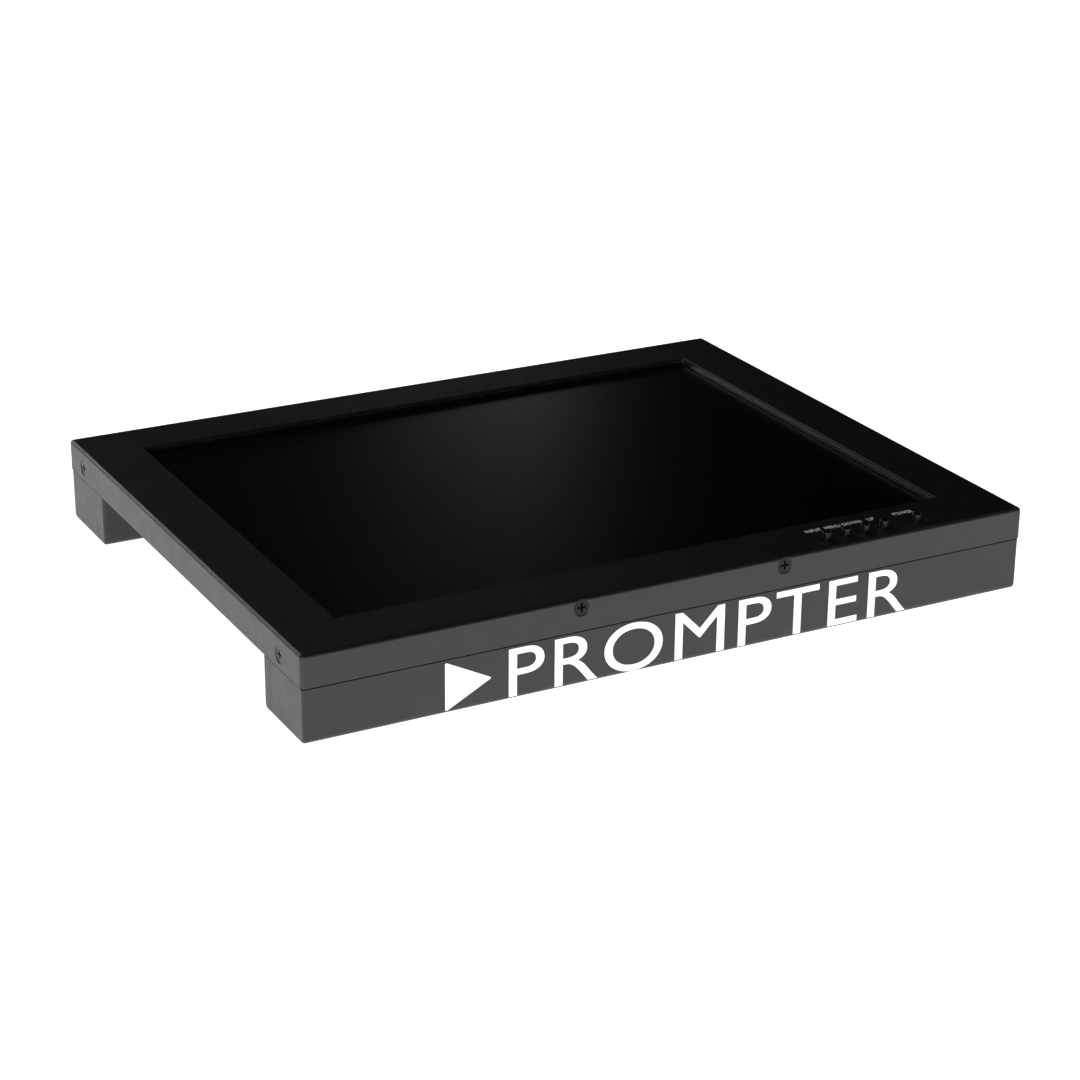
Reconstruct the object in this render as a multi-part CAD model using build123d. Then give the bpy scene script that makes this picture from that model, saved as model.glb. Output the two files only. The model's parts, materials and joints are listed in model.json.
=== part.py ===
"""Teleprompter display: a flat video monitor in a folded sheet-steel case, laid face up.

Row frame: +Z up, +X to the viewer's right, -Y towards the talent. The origin is the middle of
the case's footprint, on the plane that the two troughs stand on. Millimetres throughout.
"""
from build123d import *
import math
import os

# ---------------------------------------------------------------- driving dimensions
CASE_WIDTH = 362.0
CASE_DEPTH = 286.0
CASE_HEIGHT = 40.7
SKIRT_DEPTH = 15.2          # how far the cover folds down over the sides
SHEET = 1.5                 # steel sheet of the cover and the chassis
FOLD_RADIUS = 1.8           # outside of the cover's folds
TROUGH_FOLD = 2.5           # outside of the troughs' bottom folds
WINDOW = (306.0, 230.0)     # opening in the cover, for a 15 inch 4:3 screen
WINDOW_Y = 0.8              # the window sits a little behind the middle
FRONT_TROUGH = 41.4         # depth of the two troughs under the pan, front to back
REAR_TROUGH = 44.6
FRONT_RETURN = 5.0          # narrow flange beside each front end plate
REAR_RETURN = 8.0           # the same beside each rear end plate
SEAM = 0.7                  # open line between the cover and the lower shell
LOWER_INSET = 0.4           # the lower shell stands this far inside the cover's faces
FLANGE_CLEARANCE = 0.3      # between the cover's skirt and the flange inside it

# ---------------------------------------------------------------- places worked out from them
HALF_W = CASE_WIDTH / 2
HALF_D = CASE_DEPTH / 2
SKIRT_BOTTOM = CASE_HEIGHT - SKIRT_DEPTH
COVER_INSIDE = CASE_HEIGHT - SHEET
LOWER_TOP = SKIRT_BOTTOM - SEAM
LEDGE_BOTTOM = LOWER_TOP - SHEET
LOWER_X = HALF_W - LOWER_INSET
LOWER_Y = HALF_D - LOWER_INSET
FLANGE_X = HALF_W - SHEET - FLANGE_CLEARANCE
FLANGE_Y = HALF_D - SHEET - FLANGE_CLEARANCE
FLANGE_TOP = COVER_INSIDE - 0.5
PAN_BOTTOM = SKIRT_BOTTOM
PAN_TOP = PAN_BOTTOM + SHEET
FRONT_WALL = -HALF_D + FRONT_TROUGH   # recess side of the front trough
REAR_WALL = HALF_D - REAR_TROUGH      # recess side of the rear trough

# fasteners
M4_HEAD, M4_SHANK, M4_HOLE = 3.7, 1.95, 2.0
COUNTERSINK, COUNTERSINK_SLOPE = 4.1, 1.25
COLLAR_RADIUS, COLLAR_LENGTH = 2.75, 2.5
M3_HEAD, M3_HEAD_HEIGHT, M3_SHANK, M3_HOLE = 2.75, 1.8, 1.45, 1.5
FRONT_SCREW_X, FRONT_SCREW_Z = 51.2, CASE_HEIGHT - 4.4
SIDE_SCREW_YS, SIDE_SCREW_Z = (-120.0, 123.5), CASE_HEIGHT - 8.7

# buttons, from left to right
BUTTON_NAMES = ("input", "menu", "down", "up", "power")
BUTTON_XS = (78.8, 89.1, 99.4, 109.7, 127.7)
BUTTON_Y = -HALF_D + 8.7
BUTTON_RADIUS, BUTTON_HOLE, BUTTON_PROUD, BUTTON_TRAVEL = 2.1, 2.6, 3.8, 0.5

# display module
MODULE = (326.5, 253.5)
MODULE_TOP = COVER_INSIDE - 0.6
MODULE_BOTTOM = PAN_TOP + 0.2
MODULE_SHEET = 0.6
CELL = (315.4, 240.4)
CELL_TOP, CELL_THICK = CASE_HEIGHT - 3.0, 1.5
GUIDE = (310.0, 228.0)
BACKLIGHT = (311.0, 236.0)

# electronics
BOARD_THICK = 1.6
BOARD_BOTTOM = 4.6
BOARD_TOP = BOARD_BOTTOM + BOARD_THICK
CONTROLLER = (-130.0, 80.0, REAR_WALL + 2.6, HALF_D - 14.6)    # x0, x1, y0, y1
DRIVER = (-110.0, 10.0, -HALF_D + 7.0, FRONT_WALL - 7.4)

# connector bay in the rear wall
BAY_X = (-135.0, 35.0)
BAY_Z = (4.5, 20.5)
BAY_SHEET = 1.2
BAY_FLOOR = HALF_D - 12.8             # outer face of the panel that carries the sockets
SOCKET_Z = 12.5
DC_X, BNC_XS, VGA_X = -116.0, (-86.0, -60.0), -16.0


# ---------------------------------------------------------------- small helpers
def block(x, y, z):
    """A box from pairs of lowest and highest x, y and z."""
    size = [high - low for low, high in (x, y, z)]
    middle = [(low + high) / 2 for low, high in (x, y, z)]
    return Pos(*middle) * Box(*size)


def plate(size, z, middle_y=WINDOW_Y):
    """A flat rectangle of size (width, depth), centred behind the window, between two heights."""
    half_x, half_y = size[0] / 2, size[1] / 2
    return block((-half_x, half_x), (middle_y - half_y, middle_y + half_y), z)


def rod(radius, start, direction, length):
    """A cylinder that begins at start and runs along direction."""
    plane = Plane(origin=start, z_dir=direction)
    return plane * Pos(0, 0, length / 2) * Cylinder(radius, length)


def hexagon(across_flats, start, direction, length):
    """A hexagonal bar that begins at start and runs along direction."""
    plane = Plane(origin=start, z_dir=direction)
    outline = plane * RegularPolygon(across_flats / math.sqrt(3), 6)
    return extrude(outline, amount=length, dir=direction)


def cone(radius, tip_radius, start, direction, length):
    """A cone from radius at start to tip_radius at its far end."""
    plane = Plane(origin=start, z_dir=direction)
    return plane * Pos(0, 0, length / 2) * Cone(radius, tip_radius, length)


def cross_recess(start, direction, span, width, depth):
    """The tapered cross that a Phillips driver enters, cut from start inwards along direction."""
    plane = Plane(origin=start, z_dir=direction)
    cross = Rectangle(span, width) + Rectangle(width, span)
    return extrude(plane * cross, amount=depth, dir=direction, taper=12)


def tube_along(points, radius):
    """A round cable: straight runs joined by arcs as large as the runs allow."""
    runs = [Vector(*b) - Vector(*a) for a, b in zip(points, points[1:])]
    radii = []
    for before, after in zip(runs, runs[1:]):
        turn = math.radians(before.get_angle(after))
        radii.append(0.45 * min(before.length, after.length) / math.tan(turn / 2))
    path = FilletPolyline(*points, radius=radii)
    ends = Plane(origin=points[0], z_dir=runs[0])
    return sweep(ends * Circle(radius), path=path)


def joined(shapes):
    """One shape from a list of touching or separate ones."""
    whole = shapes[0]
    for shape in shapes[1:]:
        whole = whole + shape
    return whole


def largest(shape):
    """The biggest solid of a shape, without the slivers a cut has left."""
    return shape.solids().sort_by(SortBy.VOLUME)[-1]


def parallel_edges(shape, axis, *tests):
    """The straight edges along axis whose middle passes every test."""
    picked = []
    for edge in shape.edges().filter_by(axis):
        middle = edge.center()
        if all(test(middle) for test in tests):
            picked.append(edge)
    return picked


# ---------------------------------------------------------------- screws
# Each place is (point on the outer face, direction inwards).
def cover_screw_places():
    places = []
    for x in (-FRONT_SCREW_X, FRONT_SCREW_X):
        places.append(((x, -HALF_D, FRONT_SCREW_Z), (0, 1, 0)))
        places.append(((x, HALF_D, FRONT_SCREW_Z), (0, -1, 0)))
    for y in SIDE_SCREW_YS:
        places.append(((-HALF_W, y, SIDE_SCREW_Z), (1, 0, 0)))
        places.append(((HALF_W, y, SIDE_SCREW_Z), (-1, 0, 0)))
    return places


def countersunk_screw(start, inwards):
    """An M4 countersunk screw whose head lies just under the outer face."""
    set_in = (COUNTERSINK - M4_HEAD) / COUNTERSINK_SLOPE
    head_depth, length = (M4_HEAD - M4_SHANK) / COUNTERSINK_SLOPE, 6.7
    face = tuple(s + set_in * d for s, d in zip(start, inwards))
    screw = cone(M4_HEAD, M4_SHANK, face, inwards, head_depth)
    screw = screw + rod(M4_SHANK, face, inwards, length)
    return screw - cross_recess(face, inwards, span=4.2, width=1.0, depth=1.3)


def pan_head_screw(seat, inwards, length=5.0):
    """An M3 pan-head screw whose head stands on seat."""
    outwards = tuple(-d for d in inwards)
    head = rod(M3_HEAD, seat, outwards, M3_HEAD_HEIGHT)
    rim = head.edges().filter_by(GeomType.CIRCLE).sort_by(Axis(seat, outwards))[-1]
    head = fillet(rim, 0.9)
    top = tuple(s + M3_HEAD_HEIGHT * d for s, d in zip(seat, outwards))
    screw = head + rod(M3_SHANK, seat, inwards, length)
    return screw - cross_recess(top, inwards, span=3.2, width=0.8, depth=1.2)


# ---------------------------------------------------------------- case
def front_cover():
    """The upper shell: a flat frame round the screen, folded down over all four sides."""
    shell = block((-HALF_W, HALF_W), (-HALF_D, HALF_D), (SKIRT_BOTTOM, CASE_HEIGHT))
    shell = fillet(shell.edges().filter_by(Axis.Z), FOLD_RADIUS)
    shell = fillet(shell.edges().group_by(Axis.Z)[-1], FOLD_RADIUS)
    inside_x, inside_y = HALF_W - SHEET, HALF_D - SHEET
    hollow = block((-inside_x, inside_x), (-inside_y, inside_y), (SKIRT_BOTTOM - 1, COVER_INSIDE))
    hollow = fillet(hollow.edges().filter_by(Axis.Z), FOLD_RADIUS - SHEET)
    shell = shell - hollow
    window = plate(WINDOW, (COVER_INSIDE - 1, CASE_HEIGHT + 1))
    window = fillet(window.edges().filter_by(Axis.Z), 1.5)
    shell = shell - window
    inner_rim = [
        edge
        for edge in shell.edges().group_by(Axis.Z)[-1]
        if abs(edge.center().X) < WINDOW[0] / 2 + 1 and abs(edge.center().Y) < WINDOW[1] / 2 + 2
    ]
    shell = fillet(inner_rim, 0.35)
    for x in BUTTON_XS:
        shell = shell - rod(BUTTON_HOLE, (x, BUTTON_Y, COVER_INSIDE - 1), (0, 0, 1), SHEET + 2)
    for start, inwards in cover_screw_places():
        tip = COUNTERSINK - COUNTERSINK_SLOPE * SHEET
        shell = shell - cone(COUNTERSINK, tip, start, inwards, SHEET)
    return shell


def chassis_profile():
    """Section of the chassis sheet, front to back: flange, trough, pan, trough, flange."""
    outer = [
        (-FLANGE_Y, FLANGE_TOP), (-FLANGE_Y, LOWER_TOP), (-LOWER_Y, LOWER_TOP), (-LOWER_Y, 0),
        (FRONT_WALL, 0), (FRONT_WALL, PAN_BOTTOM), (REAR_WALL, PAN_BOTTOM), (REAR_WALL, 0),
        (LOWER_Y, 0), (LOWER_Y, LOWER_TOP), (FLANGE_Y, LOWER_TOP), (FLANGE_Y, FLANGE_TOP),
    ]
    inner = [
        (FLANGE_Y - SHEET, FLANGE_TOP), (FLANGE_Y - SHEET, LEDGE_BOTTOM),
        (LOWER_Y - SHEET, LEDGE_BOTTOM), (LOWER_Y - SHEET, SHEET),
        (REAR_WALL + SHEET, SHEET), (REAR_WALL + SHEET, PAN_TOP),
        (FRONT_WALL - SHEET, PAN_TOP), (FRONT_WALL - SHEET, SHEET),
        (-LOWER_Y + SHEET, SHEET), (-LOWER_Y + SHEET, LEDGE_BOTTOM),
        (-FLANGE_Y + SHEET, LEDGE_BOTTOM), (-FLANGE_Y + SHEET, FLANGE_TOP),
    ]
    return make_face(Polyline(*outer, *inner, close=True))


def chassis_pan():
    """The lower shell: one folded sheet with a trough at each end and a raised pan between."""
    pan = extrude(Plane.YZ * chassis_profile(), amount=LOWER_X, both=True)
    bottom = parallel_edges(pan, Axis.X, lambda p: p.Z < 0.01)
    pan = fillet(bottom, TROUGH_FOLD)
    inside = parallel_edges(pan, Axis.X, lambda p: abs(p.Z - SHEET) < 0.01)
    pan = fillet(inside, TROUGH_FOLD - SHEET)
    for side in (-1, 1):
        beyond = sorted((side * FLANGE_X, side * (HALF_W + 5)))
        pan = pan - block(beyond, (-HALF_D, HALF_D), (LOWER_TOP, CASE_HEIGHT))
        face = sorted((side * LOWER_X, side * (LOWER_X - SHEET)))
        for y in (
            (FRONT_WALL - SHEET - FRONT_RETURN, FRONT_WALL - SHEET),
            (REAR_WALL + SHEET, REAR_WALL + SHEET + REAR_RETURN),
        ):
            pan = pan + block(face, y, (SHEET, LOWER_TOP))
        lip = sorted((side * FLANGE_X, side * (FLANGE_X - SHEET)))
        pan = pan + block(lip, (FRONT_WALL, REAR_WALL), (PAN_TOP, PAN_TOP + 6))
    corners = parallel_edges(
        pan, Axis.Z, lambda p: abs(abs(p.X) - LOWER_X) < 0.01, lambda p: abs(abs(p.Y) - LOWER_Y) < 0.01
    )
    pan = fillet(corners, SHEET - 0.1)
    for start, inwards in cover_screw_places():
        if inwards[1]:
            pan = with_collar(pan, start, inwards)
    pan = pan - connector_bay()
    for x, z in io_screw_places():
        pan = pan - rod(M3_HOLE + 0.2, (x, HALF_D, z), (0, -1, 0), 3)
    for x, y in rivet_places():
        pan = pan - rod(RIVET_HOLE, (x, y, PAN_BOTTOM - 1), (0, 0, 1), SHEET + 2)
    for x, y in vesa_places() + [(0, 0)]:
        pan = pan - rod(4.5, (x, y, PAN_BOTTOM - 1), (0, 0, 1), SHEET + 2)
    return pan - vent_slots()


def with_collar(shape, start, inwards):
    """Adds the drawn and tapped collar that a cover screw bites into."""
    reach = SHEET + FLANGE_CLEARANCE + SHEET
    back = tuple(s + reach * d for s, d in zip(start, inwards))
    shape = shape + rod(COLLAR_RADIUS, back, inwards, COLLAR_LENGTH)
    return shape - rod(M4_HOLE, start, inwards, reach + COLLAR_LENGTH + 1)


def connector_bay():
    """The rectangle cut from the rear wall for the sockets."""
    return block(BAY_X, (LOWER_Y - SHEET - 1, HALF_D + 1), BAY_Z)


def slot(middle, across, tall):
    """One upright vent slot through a wall that faces front or back."""
    x, y, z = middle
    half, deep, rise = across / 2, SHEET + 1, tall / 2
    body = block((x - half, x + half), (y - deep, y + deep), (z - rise, z + rise))
    return fillet(body.edges().filter_by(Axis.Y), across / 2 - 0.01)


def vent_slots():
    """Cooling slots: one row beside the sockets, and one row in each wall of the recess."""
    across, tall = 2.4, 13.0
    slots = []
    for i in range(15):
        slots.append(slot((64 + 6.5 * i, LOWER_Y - SHEET / 2, SOCKET_Z), across, tall))
    for i in range(14):
        for y in (FRONT_WALL - SHEET / 2, REAR_WALL + SHEET / 2):
            slots.append(slot((-52 + 8 * i, y, SOCKET_Z), across, tall))
    return joined(slots)


def end_plate(side, front):
    """The plate that closes one end of a trough, with a flange that the cover screws into."""
    if front:
        y = (-LOWER_Y + SHEET, FRONT_WALL - SHEET - FRONT_RETURN - 0.25)
        screw_y = SIDE_SCREW_YS[0]
    else:
        y = (REAR_WALL + SHEET + REAR_RETURN + 0.25, LOWER_Y - SHEET)
        screw_y = SIDE_SCREW_YS[1]
    flange_y = (y[0] + 2.5, y[1]) if front else (y[0], y[1] - 2.5)
    face = sorted((side * LOWER_X, side * (LOWER_X - SHEET)))
    inner = sorted((side * FLANGE_X, side * (FLANGE_X - SHEET)))
    ledge = sorted((side * LOWER_X, side * (FLANGE_X - SHEET)))
    closing = block(face, y, (SHEET, LOWER_TOP))
    closing = closing + block(ledge, flange_y, (LEDGE_BOTTOM, LOWER_TOP))
    closing = closing + block(inner, flange_y, (LEDGE_BOTTOM, FLANGE_TOP))
    return with_collar(closing, (side * HALF_W, screw_y, SIDE_SCREW_Z), (-side, 0, 0))


# ---------------------------------------------------------------- mounting plate under the pan
PLATE_SIZE, PLATE_THICK = (124.0, 104.0), 5.0
VESA = 75.0
RIVET_RADIUS, RIVET_HOLE = 1.6, 1.7
RIVET_HEAD, RIVET_HEAD_DEPTH = 3.4, 1.6
TRIPOD_HOLE = 3.175            # 1/4 inch thread


def vesa_places():
    return [(x, y) for x in (-VESA / 2, VESA / 2) for y in (-VESA / 2, VESA / 2)]


def rivet_places():
    reach_x, reach_y = PLATE_SIZE[0] / 2 - 8, PLATE_SIZE[1] / 2 - 8
    return [(x, y) for x in (-reach_x, reach_x) for y in (-reach_y, reach_y)]


def mount_plate():
    """The thick plate under the pan that takes the tripod or bracket screws."""
    half_x, half_y = PLATE_SIZE[0] / 2, PLATE_SIZE[1] / 2
    slab = block((-half_x, half_x), (-half_y, half_y), (PAN_BOTTOM - PLATE_THICK, PAN_BOTTOM))
    slab = fillet(slab.edges().filter_by(Axis.Z), 5)
    slab = chamfer(slab.edges().group_by(Axis.Z)[0], 0.6)
    below = PAN_BOTTOM - PLATE_THICK - 1
    for x, y in vesa_places():
        slab = slab - rod(M4_HOLE, (x, y, below), (0, 0, 1), PLATE_THICK + 2)
    slab = slab - rod(TRIPOD_HOLE, (0, 0, below), (0, 0, 1), PLATE_THICK + 2)
    for x, y in rivet_places():
        slab = slab - rod(RIVET_HOLE, (x, y, below), (0, 0, 1), PLATE_THICK + 2)
        slab = slab - cone(RIVET_HEAD, RIVET_RADIUS, (x, y, below + 1), (0, 0, 1), RIVET_HEAD_DEPTH)
    return slab


def mount_plate_rivets():
    """Countersunk rivets through the plate and the pan, flush so that a bracket lies flat."""
    rivets = []
    for x, y in rivet_places():
        low = PAN_BOTTOM - PLATE_THICK
        head = cone(RIVET_HEAD, RIVET_RADIUS, (x, y, low), (0, 0, 1), RIVET_HEAD_DEPTH)
        shank = rod(RIVET_RADIUS, (x, y, low), (0, 0, 1), PLATE_THICK + SHEET)
        rivets.append(head + shank)
    return joined(rivets)


# ---------------------------------------------------------------- display module
def ring(outer, inner, z):
    """A flat rectangular frame between two heights."""
    return plate(outer, z) - plate(inner, (z[0] - 1, z[1] + 1))


def side_screw_seats():
    """Where the bracket screws enter the module: (point on the bracket, direction inwards)."""
    reach = MODULE[0] / 2 + BRACKET_SHEET
    return [
        ((side * reach, WINDOW_Y + y, BRACKET_SCREW_Z), (-side, 0, 0))
        for side in (-1, 1) for y in (-55, 55)
    ]


def cut_side_screws(shape):
    for seat, inwards in side_screw_seats():
        shape = shape - rod(M3_HOLE, seat, inwards, 6)
    return shape


def window_gasket():
    return ring((322.0, 248.0), (308.5, 232.5), (MODULE_TOP, COVER_INSIDE))


def lcd_front_frame():
    """Stamped steel frame that clamps the module together."""
    inner = (MODULE[0] - 2 * MODULE_SHEET, MODULE[1] - 2 * MODULE_SHEET)
    walls = ring(MODULE, inner, (MODULE_BOTTOM, MODULE_TOP))
    face = ring(MODULE, (308.0, 232.0), (MODULE_TOP - MODULE_SHEET, MODULE_TOP))
    frame = walls + face
    corners = parallel_edges(frame, Axis.Z, lambda p: abs(p.X) > MODULE[0] / 2 - 0.01)
    return cut_side_screws(fillet(corners, 0.5))


def lcd_mold_frame():
    """Moulded frame that carries the cell on a step and holds the backlight stack."""
    outer = (MODULE[0] - 2 * MODULE_SHEET - 0.2, MODULE[1] - 2 * MODULE_SHEET - 0.2)
    pocket_floor = CELL_TOP - CELL_THICK
    upper = ring(outer, (CELL[0] + 0.4, CELL[1] + 0.4), (pocket_floor, MODULE_TOP - MODULE_SHEET))
    lower = ring(outer, BACKLIGHT, (MODULE_BOTTOM + 0.8, pocket_floor))
    return cut_side_screws(upper + lower)


def lcd_cell():
    cell = plate(CELL, (CELL_TOP - CELL_THICK, CELL_TOP))
    return fillet(cell.edges().filter_by(Axis.Z), 0.8)


def lcd_optical_films():
    top = CELL_TOP - CELL_THICK - 0.2
    return plate((BACKLIGHT[0] - 0.8, BACKLIGHT[1] - 0.8), (top - 1.0, top))


def lcd_light_guide():
    low = MODULE_BOTTOM + 0.8 + 0.3
    return plate(GUIDE, (low, CELL_TOP - CELL_THICK - 1.2))


def lcd_reflector():
    low = MODULE_BOTTOM + 0.8
    return plate((BACKLIGHT[0] - 0.6, BACKLIGHT[1] - 0.6), (low, low + 0.3))


def lcd_led_bars():
    """Two strips of side-firing diodes, one along each long edge of the light guide."""
    low, high = MODULE_BOTTOM + 1.4, CELL_TOP - CELL_THICK - 1.4
    bars = []
    for side in (-1, 1):
        near, far = GUIDE[1] / 2, BACKLIGHT[1] / 2
        y = sorted((WINDOW_Y + side * (far - 1.0), WINDOW_Y + side * far))
        bar = block((-152, 152), y, (low, high))
        diode_y = sorted((WINDOW_Y + side * (near + 0.3), WINDOW_Y + side * (far - 1.0)))
        for i in range(20):
            x = -142.5 + 15 * i
            bar = bar + block((x - 3, x + 3), diode_y, (low + 1, high - 1))
        bars.append(bar)
    return joined(bars)


def lcd_back_tray():
    size = (MODULE[0] - 2 * MODULE_SHEET - 0.2, MODULE[1] - 2 * MODULE_SHEET - 0.2)
    return plate(size, (MODULE_BOTTOM, MODULE_BOTTOM + 0.8))


TIMING = ((-82.0, 82.0), (REAR_WALL + 3.6, REAR_WALL + 22.0))


def timing_board():
    """The strip of circuit board under the module's rear edge, with its connector."""
    board = block(*TIMING, (MODULE_BOTTOM - 1.4, MODULE_BOTTOM - 0.4))
    for x in (-70, 70):
        board = board + block((x - 3, x + 3), TIMING[1], (MODULE_BOTTOM - 0.4, MODULE_BOTTOM))
    low = MODULE_BOTTOM - 4.4
    return board + block((18, 40), (TIMING[1][0] + 1, TIMING[1][0] + 7), (low, MODULE_BOTTOM - 1.4))


def timing_board_shield():
    """A pressed cover over the left half of the timing board."""
    top = MODULE_BOTTOM - 1.4
    outer = block((-80, 14), (TIMING[1][0] + 0.5, TIMING[1][1] - 0.5), (top - 2.6, top))
    outer = fillet(outer.edges().filter_by(Axis.Z), 1.5)
    return outer - block((-79.5, 13.5), (TIMING[1][0] + 1, TIMING[1][1] - 1), (top - 2.1, top + 1))


# ---------------------------------------------------------------- how the module hangs in the cover
BRACKET_SHEET = 1.2
BRACKET_SCREW_Z = MODULE_BOTTOM + 4.6
BRACKET_LEG_Z = 34.8
BRACKET_HALF = 80.0
STUD_X, STUD_YS = 171.0, (-66.0, 68.0)


def lcd_bracket(side):
    """Angle between the module's side and the studs under the cover."""
    near = MODULE[0] / 2
    y = (WINDOW_Y - BRACKET_HALF, WINDOW_Y + BRACKET_HALF)
    leg = sorted((side * near, side * (near + BRACKET_SHEET)))
    shelf = sorted((side * near, side * (STUD_X + 4.5)))
    bracket = block(leg, y, (MODULE_BOTTOM + 1.5, BRACKET_LEG_Z + BRACKET_SHEET))
    bracket = bracket + block(shelf, y, (BRACKET_LEG_Z, BRACKET_LEG_Z + BRACKET_SHEET))
    for stud_y in STUD_YS:
        bracket = bracket - rod(M3_HOLE + 0.2, (side * STUD_X, stud_y, BRACKET_LEG_Z - 1), (0, 0, 1), 4)
    return cut_side_screws(bracket)


def stud_places():
    return [(side * STUD_X, y) for side in (-1, 1) for y in STUD_YS]


def cover_weld_studs():
    studs = []
    for x, y in stud_places():
        shank = rod(M3_HOLE, (x, y, COVER_INSIDE), (0, 0, -1), 7.6)
        studs.append(shank + rod(2.3, (x, y, COVER_INSIDE), (0, 0, -1), 0.8))
    return joined(studs)


def bracket_nuts():
    nuts = []
    for x, y in stud_places():
        nut = hexagon(5.5, (x, y, BRACKET_LEG_Z), (0, 0, -1), 2.4)
        nuts.append(nut - rod(M3_HOLE, (x, y, BRACKET_LEG_Z + 1), (0, 0, -1), 5))
    return joined(nuts)


def bracket_side_screws():
    return joined([pan_head_screw(seat, inwards) for seat, inwards in side_screw_seats()])


# ---------------------------------------------------------------- keypad
KEYPAD_X = (66.0, 142.0)
KEYPAD_Y = (-FLANGE_Y + SHEET + 0.6, -FLANGE_Y + SHEET + 12.4)
KEYPAD_TOP = 32.6
KEYPAD_POST_XS = (70.5, 137.5)
SWITCH_HEIGHT = 3.6
SWITCH_SIDE = 6.0


def keypad_board():
    board = block(KEYPAD_X, KEYPAD_Y, (KEYPAD_TOP - BOARD_THICK, KEYPAD_TOP))
    board = fillet(board.edges().filter_by(Axis.Z), 1)
    for x in KEYPAD_POST_XS:
        board = board - rod(M3_HOLE + 0.1, (x, BUTTON_Y, KEYPAD_TOP + 1), (0, 0, -1), 4)
    return board


def keypad_standoffs():
    posts = []
    for x in KEYPAD_POST_XS:
        post = hexagon(5.0, (x, BUTTON_Y, KEYPAD_TOP), (0, 0, 1), COVER_INSIDE - KEYPAD_TOP)
        posts.append(post - rod(M3_HOLE, (x, BUTTON_Y, KEYPAD_TOP - 1), (0, 0, 1), 5.5))
    return joined(posts)


def switch_housings():
    """Five square push switches, hollow where the plunger's foot travels."""
    half = SWITCH_SIDE / 2
    top = KEYPAD_TOP + SWITCH_HEIGHT
    housings = []
    for x in BUTTON_XS:
        body = block((x - half, x + half), (BUTTON_Y - half, BUTTON_Y + half), (KEYPAD_TOP, top))
        body = fillet(body.edges().filter_by(Axis.Z), 0.4)
        body = body - rod(2.5, (x, BUTTON_Y, KEYPAD_TOP + 0.5), (0, 0, 1), SWITCH_HEIGHT - 1.1)
        housings.append(body - rod(1.65, (x, BUTTON_Y, top - 1), (0, 0, 1), 2))
    return joined(housings)


def switch_domes():
    """The snap discs that push the plungers back."""
    domes = []
    for x in BUTTON_XS:
        disc = rod(2.2, (x, BUTTON_Y, KEYPAD_TOP + 0.5), (0, 0, 1), 0.55)
        domes.append(fillet(disc.edges().group_by(Axis.Z)[-1], 0.5))
    return joined(domes)


def button(x):
    """One push button: a domed cap above the cover, a stem, and the foot inside its switch."""
    switch_top = KEYPAD_TOP + SWITCH_HEIGHT
    foot_bottom = KEYPAD_TOP + 0.5 + 0.55 + BUTTON_TRAVEL + 0.05
    top = CASE_HEIGHT + BUTTON_PROUD
    cap_bottom = switch_top + BUTTON_TRAVEL + 0.25
    cap = rod(BUTTON_RADIUS, (x, BUTTON_Y, cap_bottom), (0, 0, 1), top - cap_bottom)
    cap = fillet(cap.edges().group_by(Axis.Z)[-1], 0.6)
    stem = rod(1.55, (x, BUTTON_Y, foot_bottom), (0, 0, 1), cap_bottom - foot_bottom)
    foot = rod(2.3, (x, BUTTON_Y, foot_bottom), (0, 0, 1), switch_top - 0.65 - foot_bottom)
    return cap + stem + foot


def keypad_socket():
    low = KEYPAD_TOP - BOARD_THICK
    shell = block((112, 126), (BUTTON_Y - 3, BUTTON_Y + 2.5), (low - 3.6, low))
    return shell - block((113, 127), (BUTTON_Y - 2, BUTTON_Y + 1.5), (low - 3, low - 0.6))


# ---------------------------------------------------------------- boards in the troughs
def board_posts(board):
    x0, x1, y0, y1 = board
    return [(x, y) for x in (x0 + 4, x1 - 4) for y in (y0 + 4, y1 - 4)]


def all_posts():
    return board_posts(CONTROLLER) + board_posts(DRIVER)


def circuit_board(board):
    x0, x1, y0, y1 = board
    shape = block((x0, x1), (y0, y1), (BOARD_BOTTOM, BOARD_TOP))
    shape = fillet(shape.edges().filter_by(Axis.Z), 1.5)
    for x, y in board_posts(board):
        shape = shape - rod(M3_HOLE + 0.1, (x, y, BOARD_TOP + 1), (0, 0, -1), 4)
    return shape


def board_standoffs():
    posts = []
    for x, y in all_posts():
        post = hexagon(5.0, (x, y, SHEET), (0, 0, 1), BOARD_BOTTOM - SHEET)
        posts.append(post - rod(M3_HOLE, (x, y, SHEET + 0.4), (0, 0, 1), 4))
    return joined(posts)


def board_screws():
    """The M3 screws of the two boards, and of the keypad."""
    screws = [pan_head_screw((x, y, BOARD_TOP), (0, 0, -1), 4.0) for x, y in all_posts()]
    for x in KEYPAD_POST_XS:
        screws.append(pan_head_screw((x, BUTTON_Y, KEYPAD_TOP - BOARD_THICK), (0, 0, 1), 5.0))
    return joined(screws)


def insulator_sheets():
    """Thin film between each board and the steel under it."""
    sheets = []
    for x0, x1, y0, y1 in (CONTROLLER, DRIVER):
        film = block((x0 - 2, x1 + 2), (y0, y1), (SHEET, SHEET + 0.35))
        for x, y in all_posts():
            film = film - rod(3.4, (x, y, SHEET - 1), (0, 0, 1), 3)
        sheets.append(film)
    return joined(sheets)


SCALER = (52.0, REAR_WALL + 16.0)


def scaler_chip():
    x, y = SCALER
    chip = block((x - 10, x + 10), (y - 10, y + 10), (BOARD_TOP, BOARD_TOP + 1.6))
    return chamfer(chip.edges().group_by(Axis.Z)[-1], 0.3)


def scaler_heatsink():
    x, y = SCALER
    base = BOARD_TOP + 1.6
    sink = block((x - 11, x + 11), (y - 11, y + 11), (base, base + 1.5))
    for i in range(8):
        left = x - 11 + 2.97 * i
        sink = sink + block((left, left + 1.2), (y - 11, y + 11), (base + 1.5, base + 8))
    return sink


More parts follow.
